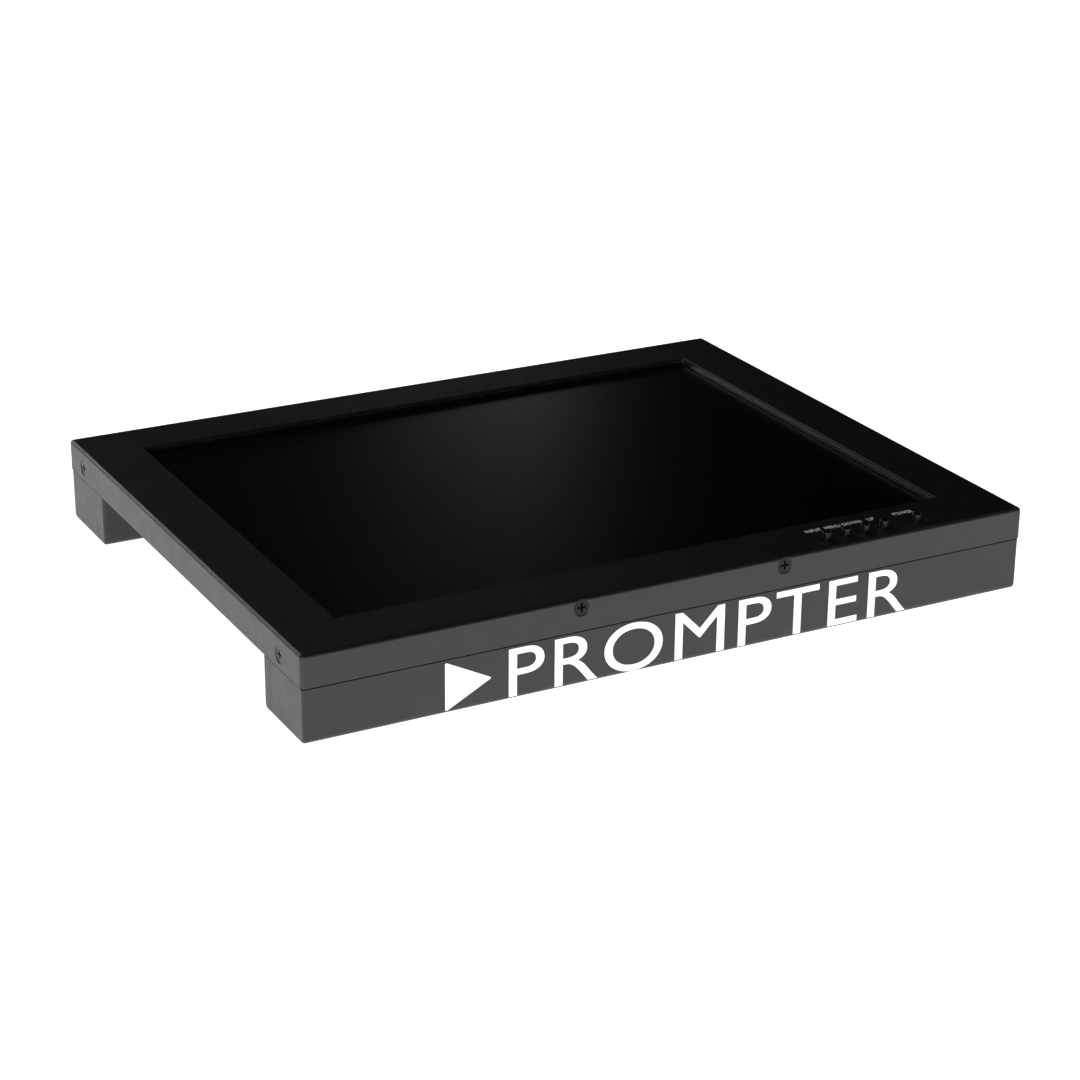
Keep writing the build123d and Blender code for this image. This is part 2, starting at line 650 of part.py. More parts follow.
def board_capacitors():
    """Upright cans on both boards."""
    places = [(6, 106, 3.15, 7), (14, 106, 3.15, 7), (10, 122, 4, 9), (33, 123, 4, 9), (70, 111, 4, 9)]
    places += [(-95, -117, 5, 13), (-82, -117, 5, 13), (-69, -117, 4, 10), (-2, -122, 4, 10)]
    cans = []
    for x, y, radius, tall in places:
        can = rod(radius, (x, y, BOARD_TOP), (0, 0, 1), tall)
        cans.append(fillet(can.edges().group_by(Axis.Z)[-1], 0.6))
    return joined(cans)


def board_sockets():
    """White wire-to-board headers on both boards."""
    low, high = BOARD_TOP, BOARD_TOP + 5
    headers = [
        block((18, 40), (111, 117), (low, high)),
        block((-128, -118), (109.5, 115.5), (low, high)),
        block((64.5, 72.5), (116, 121.5), (low, high)),
        block((-100, -92), (-134, -128), (low, high)),
        block((-86, -76), (-134, -128), (low, high)),
    ]
    return joined(headers)


def driver_transformer():
    """Wound coil on a ferrite core, which feeds the backlight."""
    x, y = -40.0, -121.0
    core = block((x - 12, x + 12), (y - 9, y + 9), (BOARD_TOP + 1, BOARD_TOP + 11))
    core = core - block((x - 8, x + 8), (y - 10, y + 10), (BOARD_TOP + 3, BOARD_TOP + 9))
    bobbin = block((x - 7.5, x + 7.5), (y - 8.6, y + 8.6), (BOARD_TOP, BOARD_TOP + 12))
    return core + bobbin


# ---------------------------------------------------------------- cables inside the case
SIDE_RUN_X, SIDE_RUN_Z = 171.0, 29.0


def signal_cable():
    """From the timing board's connector down to the controller."""
    y = TIMING[1][0] + 4
    top, low = MODULE_BOTTOM - 4.4, BOARD_TOP + 5
    return tube_along([(29, y, top), (29, y, 17.5), (29, 114, 16.5), (29, 114, low)], 1.5)


def keypad_cable():
    """From the keypad round the right-hand side of the module to the controller."""
    low = KEYPAD_TOP - BOARD_THICK - 1.8
    return tube_along(
        [
            (126, BUTTON_Y, low), (130, BUTTON_Y, low), (134, BUTTON_Y, 26.7), (142, BUTTON_Y, 26.5),
            (156, BUTTON_Y + 1, 26.5), (168, BUTTON_Y + 4, SIDE_RUN_Z),
            (SIDE_RUN_X, -116, SIDE_RUN_Z), (SIDE_RUN_X + 0.6, -58, SIDE_RUN_Z),
            (SIDE_RUN_X, -2, SIDE_RUN_Z),
            (SIDE_RUN_X + 0.6, 54, SIDE_RUN_Z), (SIDE_RUN_X, 105, SIDE_RUN_Z), (168, 117, 20.0),
            (150, 119.5, 10.5), (110, 118.8, 8.7), (72.5, 118.8, 8.7),
        ],
        1.3,
    )


def lamp_lead():
    """From the driver up to the diode bars, into the module's left side."""
    return tube_along(
        [
            (-100, -131, 9.6), (-122, -131, 9.6), (-143, -129, 10.0), (-160, -124, 15.0),
            (-170, -115, 24.0), (-172, -102, 32.2), (-171, -92, 32.6), (-163.3, -92, 32.6),
        ],
        1.3,
    )


def driver_lead():
    """Supply and dimming, from the controller round the left-hand side to the driver."""
    return tube_along(
        [
            (-128, 112.5, 9.0), (-146, 112.5, 9.0), (-161, 114, 14.0), (-169, 113, 24.0),
            (-SIDE_RUN_X, 102, SIDE_RUN_Z), (-SIDE_RUN_X - 0.6, 50, SIDE_RUN_Z),
            (-SIDE_RUN_X, 0, SIDE_RUN_Z), (-SIDE_RUN_X - 0.6, -50, SIDE_RUN_Z),
            (-SIDE_RUN_X, -84, SIDE_RUN_Z), (-166.5, -110, SIDE_RUN_Z),
            (-158, -115, 17.0), (-140, -120, 14.5), (-112, -124.5, 15.5), (-92, -124.8, 21.0),
            (-82, -128, 21.0), (-81, -131, 18.0), (-81, -131, 11.2),
        ],
        1.3,
    )


# ---------------------------------------------------------------- sockets in the bay
VGA_OUTLINE = (8.4, 6.8, 4.0)      # half width at the top and the bottom, half height
VGA_BODY = (BAY_FLOOR - 15.0, BAY_FLOOR - BAY_SHEET - 0.8)
BNC_BARREL, BNC_BORE, BNC_THREAD = 4.8, 4.0, 4.75


def d_outline(grow, y0, y1):
    """The tapered D of a video socket, grown all round and extruded from y0 to y1."""
    top, bottom, high = (side + grow for side in VGA_OUTLINE)
    shape = make_face(Polyline((-top, high), (top, high), (bottom, -high), (-bottom, -high), close=True))
    shape = fillet(shape.vertices(), 2.0 + grow)
    face = Plane(origin=(VGA_X, y0, SOCKET_Z), x_dir=(1, 0, 0), z_dir=(0, -1, 0)) * shape
    return extrude(face, amount=y1 - y0, dir=(0, 1, 0))


def io_panel():
    """The folded tray let into the rear wall, with the socket holes in its floor."""
    back = LOWER_Y - SHEET
    floor_y = (BAY_FLOOR - BAY_SHEET, BAY_FLOOR)
    outer_x = (BAY_X[0] - BAY_SHEET, BAY_X[1] + BAY_SHEET)
    outer_z = (BAY_Z[0] - BAY_SHEET, BAY_Z[1] + BAY_SHEET)
    tray = block(outer_x, (floor_y[0], back), outer_z)
    tray = fillet(tray.edges().filter_by(Axis.Y), 1.4)
    tray = tray - block(BAY_X, (BAY_FLOOR, back + 1), BAY_Z)
    for x in ((outer_x[0] - 9, outer_x[0] + 0.5), (outer_x[1] - 0.5, outer_x[1] + 9)):
        tray = tray + block(x, (back - BAY_SHEET, back), (BAY_Z[0] + 1, BAY_Z[1] - 1))
    tray = tray - block(BAY_X, (BAY_FLOOR, back + 1), BAY_Z)
    for x, z in io_screw_places():
        tray = tray - rod(M3_HOLE, (x, back + 1, z), (0, -1, 0), 4)
    holes = rod(4.0, (DC_X, BAY_FLOOR + 1, SOCKET_Z), (0, -1, 0), 4)
    for x in BNC_XS:
        holes = holes + rod(BNC_THREAD + 0.1, (x, BAY_FLOOR + 1, SOCKET_Z), (0, -1, 0), 4)
    for x in jack_screw_xs():
        holes = holes + rod(1.7, (x, BAY_FLOOR + 1, SOCKET_Z), (0, -1, 0), 4)
    return tray - holes - d_outline(0.4, floor_y[0] - 1, BAY_FLOOR + 1)


def io_screw_places():
    return [(x, SOCKET_Z) for x in (BAY_X[0] - BAY_SHEET - 5, BAY_X[1] + BAY_SHEET + 5)]


def io_panel_screws():
    """Two pan heads on the rear wall that hold the tray."""
    return joined([pan_head_screw((x, LOWER_Y, z), (0, -1, 0), 6.0) for x, z in io_screw_places()])


def jack_screw_xs():
    return [VGA_X - 12.5, VGA_X + 12.5]


def vga_shell():
    """Plated D-shaped skirt with its flange behind the panel."""
    inner_face = BAY_FLOOR - BAY_SHEET
    across, upright = (VGA_X - 15.4, VGA_X + 15.4), (SOCKET_Z - 6.2, SOCKET_Z + 6.2)
    flange = block(across, (inner_face - 0.8, inner_face), upright)
    flange = fillet(flange.edges().filter_by(Axis.Y), 1.5)
    skirt = d_outline(0, inner_face - 0.8, BAY_FLOOR + 5.2) - d_outline(-0.5, inner_face - 2, BAY_FLOOR + 7)
    shell = flange + skirt - d_outline(-0.5, inner_face - 2, BAY_FLOOR)
    for x in jack_screw_xs():
        shell = shell - rod(1.5, (x, inner_face + 1, SOCKET_Z), (0, -1, 0), 3)
    return shell


def vga_insert():
    """Moulded socket body with fifteen contact holes in three rows."""
    inner_face = BAY_FLOOR - BAY_SHEET - 0.8
    body = block((VGA_X - 10.5, VGA_X + 10.5), VGA_BODY, (BOARD_TOP, SOCKET_Z + 5.8))
    insert = body + d_outline(-0.6, inner_face - 0.5, BAY_FLOOR + 4.6)
    for row in (-1, 0, 1):
        for i in range(5):
            x = VGA_X + 2.29 * (i - 2) + 0.57 * row
            insert = insert - rod(0.5, (x, BAY_FLOOR + 6, SOCKET_Z + 1.98 * row), (0, -1, 0), 6)
    return insert


def vga_jackscrews():
    """The two hexagonal posts that a plug's thumbscrews turn into."""
    posts = []
    for x in jack_screw_xs():
        post = hexagon(4.8, (x, BAY_FLOOR, SOCKET_Z), (0, 1, 0), 5.0)
        post = post - rod(1.4, (x, BAY_FLOOR + 6, SOCKET_Z), (0, -1, 0), 5)
        posts.append(post + rod(1.4, (x, BAY_FLOOR, SOCKET_Z), (0, -1, 0), 6))
    return joined(posts)


def bnc_bodies():
    """Nickel-plated bayonet sockets."""
    bodies = []
    for x in BNC_XS:
        start = (x, BAY_FLOOR - 12, SOCKET_Z)
        body = rod(BNC_THREAD, start, (0, 1, 0), 12 + 3.2)
        body = body + rod(BNC_BARREL, (x, BAY_FLOOR + 3.2, SOCKET_Z), (0, 1, 0), 7.6)
        body = body + rod(6.0, (x, BAY_FLOOR - BAY_SHEET, SOCKET_Z), (0, -1, 0), 1.6)
        for up in (-1, 1):
            body = body + rod(1.0, (x, BAY_FLOOR + 8.0, SOCKET_Z), (0, 0, up), 5.6)
        body = body - rod(BNC_BORE, (x, BAY_FLOOR + 11, SOCKET_Z), (0, -1, 0), 9)
        bodies.append(body - rod(2.6, (x, BAY_FLOOR + 3, SOCKET_Z), (0, -1, 0), 10))
    return joined(bodies)


def bnc_insulators():
    """White insulators, each with the hollow centre contact's hole."""
    cores = []
    for x in BNC_XS:
        core = rod(2.6, (x, BAY_FLOOR + 3.0, SOCKET_Z), (0, -1, 0), 10)
        core = core + rod(2.2, (x, BAY_FLOOR + 7.5, SOCKET_Z), (0, -1, 0), 5)
        cores.append(core - rod(0.7, (x, BAY_FLOOR + 8, SOCKET_Z), (0, -1, 0), 8))
    return joined(cores)


def bnc_nuts():
    nuts = []
    for x in BNC_XS:
        nut = hexagon(13.5, (x, BAY_FLOOR, SOCKET_Z), (0, 1, 0), 2.6)
        nuts.append(nut - rod(BNC_THREAD, (x, BAY_FLOOR - 1, SOCKET_Z), (0, 1, 0), 5))
    return joined(nuts)


def dc_inlet():
    """Round supply inlet with its centre pin."""
    body = rod(3.9, (DC_X, BAY_FLOOR + 3.6, SOCKET_Z), (0, -1, 0), 6)
    body = body + rod(5.0, (DC_X, BAY_FLOOR - BAY_SHEET, SOCKET_Z), (0, -1, 0), 12)
    body = body - rod(2.9, (DC_X, BAY_FLOOR + 5, SOCKET_Z), (0, -1, 0), 14)
    return body + rod(1.05, (DC_X, BAY_FLOOR + 2.6, SOCKET_Z), (0, -1, 0), 12)


def dc_inlet_nut():
    nut = hexagon(11.0, (DC_X, BAY_FLOOR, SOCKET_Z), (0, 1, 0), 2.2)
    return nut - rod(3.9, (DC_X, BAY_FLOOR - 1, SOCKET_Z), (0, 1, 0), 4)


# ---------------------------------------------------------------- every node, by name
def all_nodes():
    pan = chassis_pan()
    nodes = {"front_cover": front_cover(), "chassis_pan": pan}
    for side, side_name in ((-1, "left"), (1, "right")):
        nodes[f"front_{side_name}_end_plate"] = largest(end_plate(side, front=True) - pan)
        nodes[f"rear_{side_name}_end_plate"] = largest(end_plate(side, front=False) - pan)
        nodes[f"lcd_bracket_{side_name}"] = lcd_bracket(side)
    nodes["cover_screws"] = joined([countersunk_screw(*place) for place in cover_screw_places()])
    for name, x in zip(BUTTON_NAMES, BUTTON_XS):
        nodes[f"{name}_button"] = button(x)
    nodes["controller_board"] = circuit_board(CONTROLLER)
    nodes["driver_board"] = circuit_board(DRIVER)
    for make in (
        mount_plate, mount_plate_rivets, window_gasket, lcd_front_frame, lcd_mold_frame, lcd_cell,
        lcd_optical_films, lcd_light_guide, lcd_reflector, lcd_led_bars, lcd_back_tray, timing_board,
        timing_board_shield, cover_weld_studs, bracket_nuts, bracket_side_screws, keypad_board,
        keypad_standoffs, switch_housings, switch_domes, keypad_socket, board_standoffs, board_screws,
        insulator_sheets, scaler_chip, scaler_heatsink, board_capacitors, board_sockets,
        driver_transformer, signal_cable, keypad_cable, lamp_lead, driver_lead, io_panel,
        io_panel_screws, vga_shell, vga_insert, vga_jackscrews, bnc_bodies, bnc_insulators, bnc_nuts,
        dc_inlet, dc_inlet_nut,
    ):
        nodes[make.__name__] = make()
    return nodes


os.makedirs("parts", exist_ok=True)
for node_name, shape in all_nodes().items():
    export_step(shape, os.path.join("parts", node_name + ".step"))
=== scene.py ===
import json
import math
import bpy
import bmesh
from mathutils import Matrix, Vector


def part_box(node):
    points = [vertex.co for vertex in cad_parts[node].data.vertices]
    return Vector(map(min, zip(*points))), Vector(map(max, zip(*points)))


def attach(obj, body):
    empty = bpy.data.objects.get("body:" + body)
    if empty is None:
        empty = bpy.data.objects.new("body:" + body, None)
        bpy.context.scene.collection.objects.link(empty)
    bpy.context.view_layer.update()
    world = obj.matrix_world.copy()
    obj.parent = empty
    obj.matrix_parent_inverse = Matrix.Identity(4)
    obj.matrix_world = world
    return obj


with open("model.json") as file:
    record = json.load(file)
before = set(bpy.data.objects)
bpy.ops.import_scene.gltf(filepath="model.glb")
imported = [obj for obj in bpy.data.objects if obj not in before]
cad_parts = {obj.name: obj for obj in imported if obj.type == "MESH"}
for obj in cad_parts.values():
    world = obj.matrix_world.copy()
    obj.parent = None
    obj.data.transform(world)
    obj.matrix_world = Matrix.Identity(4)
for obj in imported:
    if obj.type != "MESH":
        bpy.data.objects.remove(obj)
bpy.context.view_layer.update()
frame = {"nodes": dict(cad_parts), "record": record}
nodes = frame["nodes"]
mm = 0.001                                 # one millimetre in scene units
print("frame loaded:", len(nodes), "nodes")

# The camera stands in front and to the left, and looks down on the screen.
viewPoint = {
    "place": (-561.4, -1058.4, 495.5),     # mm from the middle of the footprint
    "right": (0.88317328, -0.46898845, 0.00740232),
    "up": (0.17138524, 0.33735327, 0.92564565),
    "lens": 89.63,
    "sensor": 36,
}


def makeCamera():
    right, up = Vector(viewPoint["right"]), Vector(viewPoint["up"])
    data = bpy.data.cameras.new("camera")
    data.lens, data.sensor_width = viewPoint["lens"], viewPoint["sensor"]
    camera = bpy.data.objects.new("camera", data)
    turn = Matrix((right, up, right.cross(up))).transposed().to_4x4()
    camera.matrix_world = Matrix.Translation(Vector(viewPoint["place"]) * mm) @ turn
    bpy.context.collection.objects.link(camera)
    bpy.context.scene.camera = camera


makeCamera()
print("camera placed")


# Materials. Colours are sRGB hex values, and the size of every pattern is in mm.
noiseRange = {"patch": (0.2, 0.8), "rough": (0.3, 0.7)}   # the part of a noise's range that is spread out


def linear(hexCode):
    parts = [int(hexCode[i:i + 2], 16) / 255 for i in (1, 3, 5)]
    return [c / 12.92 if c <= 0.04045 else ((c + 0.055) / 1.055) ** 2.4 for c in parts] + [1]


def addNode(tree, kind, settings=None, links=None):
    node = tree.nodes.new(kind)
    for key, value in (settings or {}).items():
        if isinstance(key, int) or key in node.inputs:
            node.inputs[key].default_value = value
        else:
            setattr(node, key, value)
    for key, source in (links or {}).items():
        tree.links.new(source, node.inputs[key])
    return node


def startMaterial(name):
    material = bpy.data.materials.new(name)
    material.use_nodes = True
    material.node_tree.nodes.clear()
    return material, material.node_tree


def surfaceOf(name, look):
    # One skin: a colour that drifts from patch to patch, a roughness that drifts with it, and a fine relief.
    material, tree = startMaterial(name)
    where = addNode(tree, "ShaderNodeTexCoord").outputs["Object"]
    stretched = addNode(tree, "ShaderNodeMapping", {"Scale": look.get("stretch", (1, 1, 1))}, {"Vector": where})
    patches = addNode(tree, "ShaderNodeTexNoise", {"Scale": 1 / (look["patch"] * mm), "Detail": 4},
                      {"Vector": where})
    grain = addNode(tree, "ShaderNodeTexNoise", {"Scale": 1 / (look["grain"] * mm), "Detail": 2},
                    {"Vector": stretched.outputs["Vector"]})
    low, high = noiseRange["patch"]
    spread = addNode(tree, "ShaderNodeMapRange", {"From Min": low, "From Max": high},
                     {"Value": patches.outputs["Fac"]})
    colour = addNode(tree, "ShaderNodeMix",
                     {"data_type": "RGBA", 6: linear(look["colour"]), 7: linear(look["shade"])},
                     {0: spread.outputs["Result"]})
    low, high = noiseRange["rough"]
    rough = addNode(tree, "ShaderNodeMapRange", {"From Min": low, "From Max": high,
                    "To Min": look["rough"] - look["drift"], "To Max": look["rough"] + look["drift"]},
                    {"Value": grain.outputs["Fac"] if look.get("brushed") else patches.outputs["Fac"]})
    relief = addNode(tree, "ShaderNodeBump", {"Distance": look["depth"] * mm}, {"Height": grain.outputs["Fac"]})
    shader = addNode(tree, "ShaderNodeBsdfPrincipled",
                     {"Metallic": look.get("metallic", 0), **look.get("extra", {})},
                     {"Base Color": colour.outputs[2], "Roughness": rough.outputs["Result"],
                      "Normal": relief.outputs["Normal"]})
    addNode(tree, "ShaderNodeOutputMaterial", links={"Surface": shader.outputs["BSDF"]})
    return material


# Powder coat: polyester powder baked on steel. Satin black with a fine orange peel, drawn at 1.1 mm because the
# real 0.3 mm one wouldn't show.
powderCoat = surfaceOf("powderCoatedSteel", {
    "colour": "#070708", "shade": "#0b0b0c", "patch": 9,
    "rough": 0.45, "drift": 0.03, "grain": 1.1, "depth": 0.05,
    "extra": {"IOR": 1.6},
})
# Black oxide: thin conversion skin on steel, oiled. Paler and glossier than the coat round it.
blackOxide = surfaceOf("blackOxideSteel", {
    "colour": "#1b1b1c", "shade": "#29292b", "patch": 2,
    "rough": 0.36, "drift": 0.08, "grain": 0.5, "depth": 0.008,
    "metallic": 0.75,
})
# Black anodised aluminium: matt, with the faint lines of the milling left in it.
anodisedPlate = surfaceOf("anodisedAluminium", {
    "colour": "#222224", "shade": "#2b2b2e", "patch": 12,
    "rough": 0.42, "drift": 0.07, "grain": 0.6, "depth": 0.01,
    "metallic": 0.6, "stretch": (1, 0.04, 1), "brushed": True,
})
# Bright zinc on turned and stamped steel.
zincPlate = surfaceOf("zincPlatedSteel", {
    "colour": "#b9bcc0", "shade": "#9a9ea6", "patch": 3,
    "rough": 0.3, "drift": 0.08, "grain": 0.3, "depth": 0.004,
    "metallic": 1,
})
# Galvanised sheet: dull, with spangles of 8 mm.
galvanised = surfaceOf("galvanisedSheet", {
    "colour": "#a9adb0", "shade": "#8a8f94", "patch": 8,
    "rough": 0.45, "drift": 0.1, "grain": 0.7, "depth": 0.006,
    "metallic": 1,
})
# Closed-cell foam: matt black, with cells of half a millimetre.
foamSeal = surfaceOf("closedCellFoam", {
    "colour": "#101011", "shade": "#1a1a1b", "patch": 2,
    "rough": 0.92, "drift": 0.04, "grain": 0.5, "depth": 0.12,
})
# Rolled stainless sheet: a soft sheen with the grain of the rolls along X.
rolledStainless = surfaceOf("rolledStainless", {
    "colour": "#a6a8aa", "shade": "#8f9295", "patch": 10,
    "rough": 0.34, "drift": 0.08, "grain": 0.4, "depth": 0.004,
    "metallic": 1, "stretch": (0.03, 1, 1), "brushed": True,
})
# Mill-finish aluminium sheet: paler and duller than the stainless.
millAluminium = surfaceOf("millAluminium", {
    "colour": "#c3c5c7", "shade": "#afb2b5", "patch": 14,
    "rough": 0.42, "drift": 0.08, "grain": 0.5, "depth": 0.005,
    "metallic": 1, "stretch": (0.03, 1, 1), "brushed": True,
})
# White polycarbonate, injection moulded: satin, a little light goes in.
whitePolycarbonate = surfaceOf("whitePolycarbonate", {
    "colour": "#e6e4dc", "shade": "#dbd8ce", "patch": 8,
    "rough": 0.42, "drift": 0.05, "grain": 0.4, "depth": 0.005,
    "extra": {"IOR": 1.58, "Subsurface Weight": 0.08, "Subsurface Scale": 0.002},
})
# Cast acrylic: clear and glossy.
clearAcrylic = surfaceOf("castAcrylic", {
    "colour": "#f2f6f7", "shade": "#e9eff1", "patch": 30,
    "rough": 0.08, "drift": 0.03, "grain": 3, "depth": 0.004,
    "extra": {"IOR": 1.49, "Transmission Weight": 0.6},
})
# Glass-filled nylon and phenolic mouldings: matt black.
blackNylon = surfaceOf("blackNylon", {
    "colour": "#161617", "shade": "#1e1e20", "patch": 3,
    "rough": 0.55, "drift": 0.08, "grain": 0.35, "depth": 0.01,
})
# Black anodised fins.
anodisedFins = surfaceOf("anodisedFins", {
    "colour": "#1a1a1c", "shade": "#242427", "patch": 5,
    "rough": 0.4, "drift": 0.07, "grain": 0.3, "depth": 0.006,
    "metallic": 0.5,
})
# Shrunk vinyl sleeve of a capacitor: glossy dark blue.
shrinkSleeve = surfaceOf("shrinkSleeve", {
    "colour": "#1c2740", "shade": "#25324f", "patch": 4,
    "rough": 0.25, "drift": 0.06, "grain": 0.8, "depth": 0.01,
})
# Fired ferrite: dark grey, sandy.
firedFerrite = surfaceOf("firedFerrite", {
    "colour": "#3a3836", "shade": "#464340", "patch": 2,
    "rough": 0.7, "drift": 0.08, "grain": 0.3, "depth": 0.03,
})
# Extruded vinyl sheath: soft satin grey.
vinylSheath = surfaceOf("vinylSheath", {
    "colour": "#4a4b4d", "shade": "#535456", "patch": 6,
    "rough": 0.5, "drift": 0.06, "grain": 0.4, "depth": 0.01,
})
# Nickel on turned brass: warm and bright.
nickelPlate = surfaceOf("nickelPlatedBrass", {
    "colour": "#cfc9bd", "shade": "#bcb5a6", "patch": 3,
    "rough": 0.22, "drift": 0.06, "grain": 0.3, "depth": 0.003,
    "metallic": 1,
})
# Gold flash on contacts.
goldFlash = surfaceOf("goldFlash", {
    "colour": "#d8b25a", "shade": "#c79c46", "patch": 1,
    "rough": 0.25, "drift": 0.05, "grain": 0.2, "depth": 0.002,
    "metallic": 1,
})
# Blue glass-filled moulding of a video socket.
bluePlastic = surfaceOf("bluePolyester", {
    "colour": "#1f3f96", "shade": "#274aa6", "patch": 3,
    "rough": 0.5, "drift": 0.06, "grain": 0.3, "depth": 0.008,
})
# Button caps: black ABS, moulded and polished by use.
polishedAbs = surfaceOf("polishedAbs", {
    "colour": "#060607", "shade": "#09090a", "patch": 1.5,
    "rough": 0.30, "drift": 0.04, "grain": 0.4, "depth": 0.004,
})
# Cut vinyl film: matt white with a faint calender texture.
whiteVinyl = surfaceOf("whiteVinylFilm", {
    "colour": "#f4f4f3", "shade": "#ededec", "patch": 12,
    "rough": 0.5, "drift": 0.05, "grain": 0.9, "depth": 0.006,
})
# Screen-printed ink: light grey, slightly uneven where the mesh left it thin.
printedInk = surfaceOf("printedInk", {
    "colour": "#dededc", "shade": "#c4c4c2", "patch": 0.7,
    "rough": 0.6, "drift": 0.05, "grain": 0.5, "depth": 0.006,
})
# Brushed polyester label film.
labelFilm = surfaceOf("brushedLabelFilm", {
    "colour": "#b7b9bb", "shade": "#a8abad", "patch": 8,
    "rough": 0.38, "drift": 0.07, "grain": 0.3, "depth": 0.003,
    "metallic": 0.9, "stretch": (0.03, 1, 1), "brushed": True,
})

screenLook = {
    "glass": "#020203", "border": "#040405",
    "active": (304.1, 228.1), "middleY": 0.8,      # mm, the lit area inside the black border
    "rough": 0.27, "haze": 0.003, "hazePatch": 60, # anti-glare film, its haze in patches of 60 mm
    "sparkle": 0.45, "depth": 0.0004,              # mm, etched pits, drawn three times too coarse
}


def antiGlareScreen():
    # Polariser film with an etched face over black liquid-crystal glass: deep black with a soft glare.
    material, tree = startMaterial("antiGlareScreen")
    where = addNode(tree, "ShaderNodeTexCoord").outputs["Object"]
    axes = addNode(tree, "ShaderNodeSeparateXYZ", links={"Vector": where})
    inside = []
    wide, deep = screenLook["active"]
    for axis, middle, size in (("X", 0, wide), ("Y", screenLook["middleY"], deep)):
        offset = addNode(tree, "ShaderNodeMath", {"operation": "SUBTRACT", 1: middle * mm},
                         {0: axes.outputs[axis]})
        away = addNode(tree, "ShaderNodeMath", {"operation": "ABSOLUTE"}, {0: offset.outputs[0]})
        inside.append(addNode(tree, "ShaderNodeMath", {"operation": "LESS_THAN", 1: size / 2 * mm},
                              {0: away.outputs[0]}))
    lit = addNode(tree, "ShaderNodeMath", {"operation": "MULTIPLY"},
                  {0: inside[0].outputs[0], 1: inside[1].outputs[0]})
    colour = addNode(tree, "ShaderNodeMix", {"data_type": "RGBA", 6: linear(screenLook["border"]),
                     7: linear(screenLook["glass"])}, {0: lit.outputs[0]})
    haze = addNode(tree, "ShaderNodeTexNoise", {"Scale": 1 / (screenLook["hazePatch"] * mm), "Detail": 1},
                   {"Vector": where})
    rough = addNode(tree, "ShaderNodeMapRange", {"clamp": False,
                    "To Min": screenLook["rough"] - screenLook["haze"],
                    "To Max": screenLook["rough"] + screenLook["haze"]}, {"Value": haze.outputs["Fac"]})
    pits = addNode(tree, "ShaderNodeTexNoise", {"Scale": 1 / (screenLook["sparkle"] * mm), "Detail": 1},
                   {"Vector": where})
    relief = addNode(tree, "ShaderNodeBump", {"Distance": screenLook["depth"] * mm},
                     {"Height": pits.outputs["Fac"]})
    shader = addNode(tree, "ShaderNodeBsdfPrincipled", {"IOR": 1.5},
                     {"Base Color": colour.outputs[2], "Roughness": rough.outputs["Result"],
                      "Normal": relief.outputs["Normal"]})
    addNode(tree, "ShaderNodeOutputMaterial", links={"Surface": shader.outputs["BSDF"]})
    return material


boardLook = {"mask": "#0f4a2c", "trace": "#1d6b40", "net": 2.4, "width": 0.09, "raised": 0.035, "rough": 0.35}


def solderMask():
    # Green solder mask over copper: the traces show as paler, slightly raised lines.
    material, tree = startMaterial("solderMask")
    where = addNode(tree, "ShaderNodeTexCoord").outputs["Object"]
    net = addNode(tree, "ShaderNodeTexVoronoi",
                  {"feature": "DISTANCE_TO_EDGE", "Scale": 1 / (boardLook["net"] * mm)},
                  {"Vector": where})
    trace = addNode(tree, "ShaderNodeMath", {"operation": "LESS_THAN", 1: boardLook["width"]},
                    {0: net.outputs["Distance"]})
    colour = addNode(tree, "ShaderNodeMix", {"data_type": "RGBA", 6: linear(boardLook["mask"]),
                     7: linear(boardLook["trace"])}, {0: trace.outputs[0]})
    relief = addNode(tree, "ShaderNodeBump", {"Distance": boardLook["raised"] * mm}, {"Height": trace.outputs[0]})
    shader = addNode(tree, "ShaderNodeBsdfPrincipled", {"Roughness": boardLook["rough"]},
                     {"Base Color": colour.outputs[2], "Normal": relief.outputs["Normal"]})
    addNode(tree, "ShaderNodeOutputMaterial", links={"Surface": shader.outputs["BSDF"]})
    return material


finishOf = {
    "case_coating": powderCoat, "black_screws": blackOxide, "anodised_plate": anodisedPlate,
    "steel_hardware": zincPlate, "zinc_sheet": galvanised, "foam": foamSeal, "module_steel": rolledStainless,
    "white_moulding": whitePolycarbonate, "screen_glass": antiGlareScreen(), "clear_sheet": clearAcrylic,
    "module_aluminium": millAluminium, "circuit_board": solderMask(), "black_moulding": blackNylon,
    "black_aluminium": anodisedFins, "capacitor_sleeve": shrinkSleeve, "ferrite": firedFerrite,
    "grey_cable": vinylSheath, "nickel": nickelPlate, "blue_moulding": bluePlastic,
    "button_plastic": polishedAbs,
}
filled = 0
for part in frame["record"]["subparts"]:
    for slot in nodes[part["node"]].material_slots:
        slot.material = finishOf[part["material_slot"]]
        filled += 1
print("materials made:", len(finishOf), "slots filled:", filled)


# Pieces that only the visual model has: lettering, labels and contacts.
def newPiece(name, bm, finish):
    bmesh.ops.recalc_face_normals(bm, faces=bm.faces)
    mesh = bpy.data.meshes.new(name)
    bm.to_mesh(mesh)
    bm.free()
    mesh.materials.append(finish)
    piece = bpy.data.objects.new(name, mesh)
    bpy.context.collection.objects.link(piece)
    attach(piece, "case")
    return piece


facing = {
    "up": Matrix.Identity(4),
    "front": Matrix.Rotation(math.radians(90), 4, "X"),
    "back": Matrix.Rotation(math.radians(180), 4, "Z") @ Matrix.Rotation(math.radians(90), 4, "X"),
}


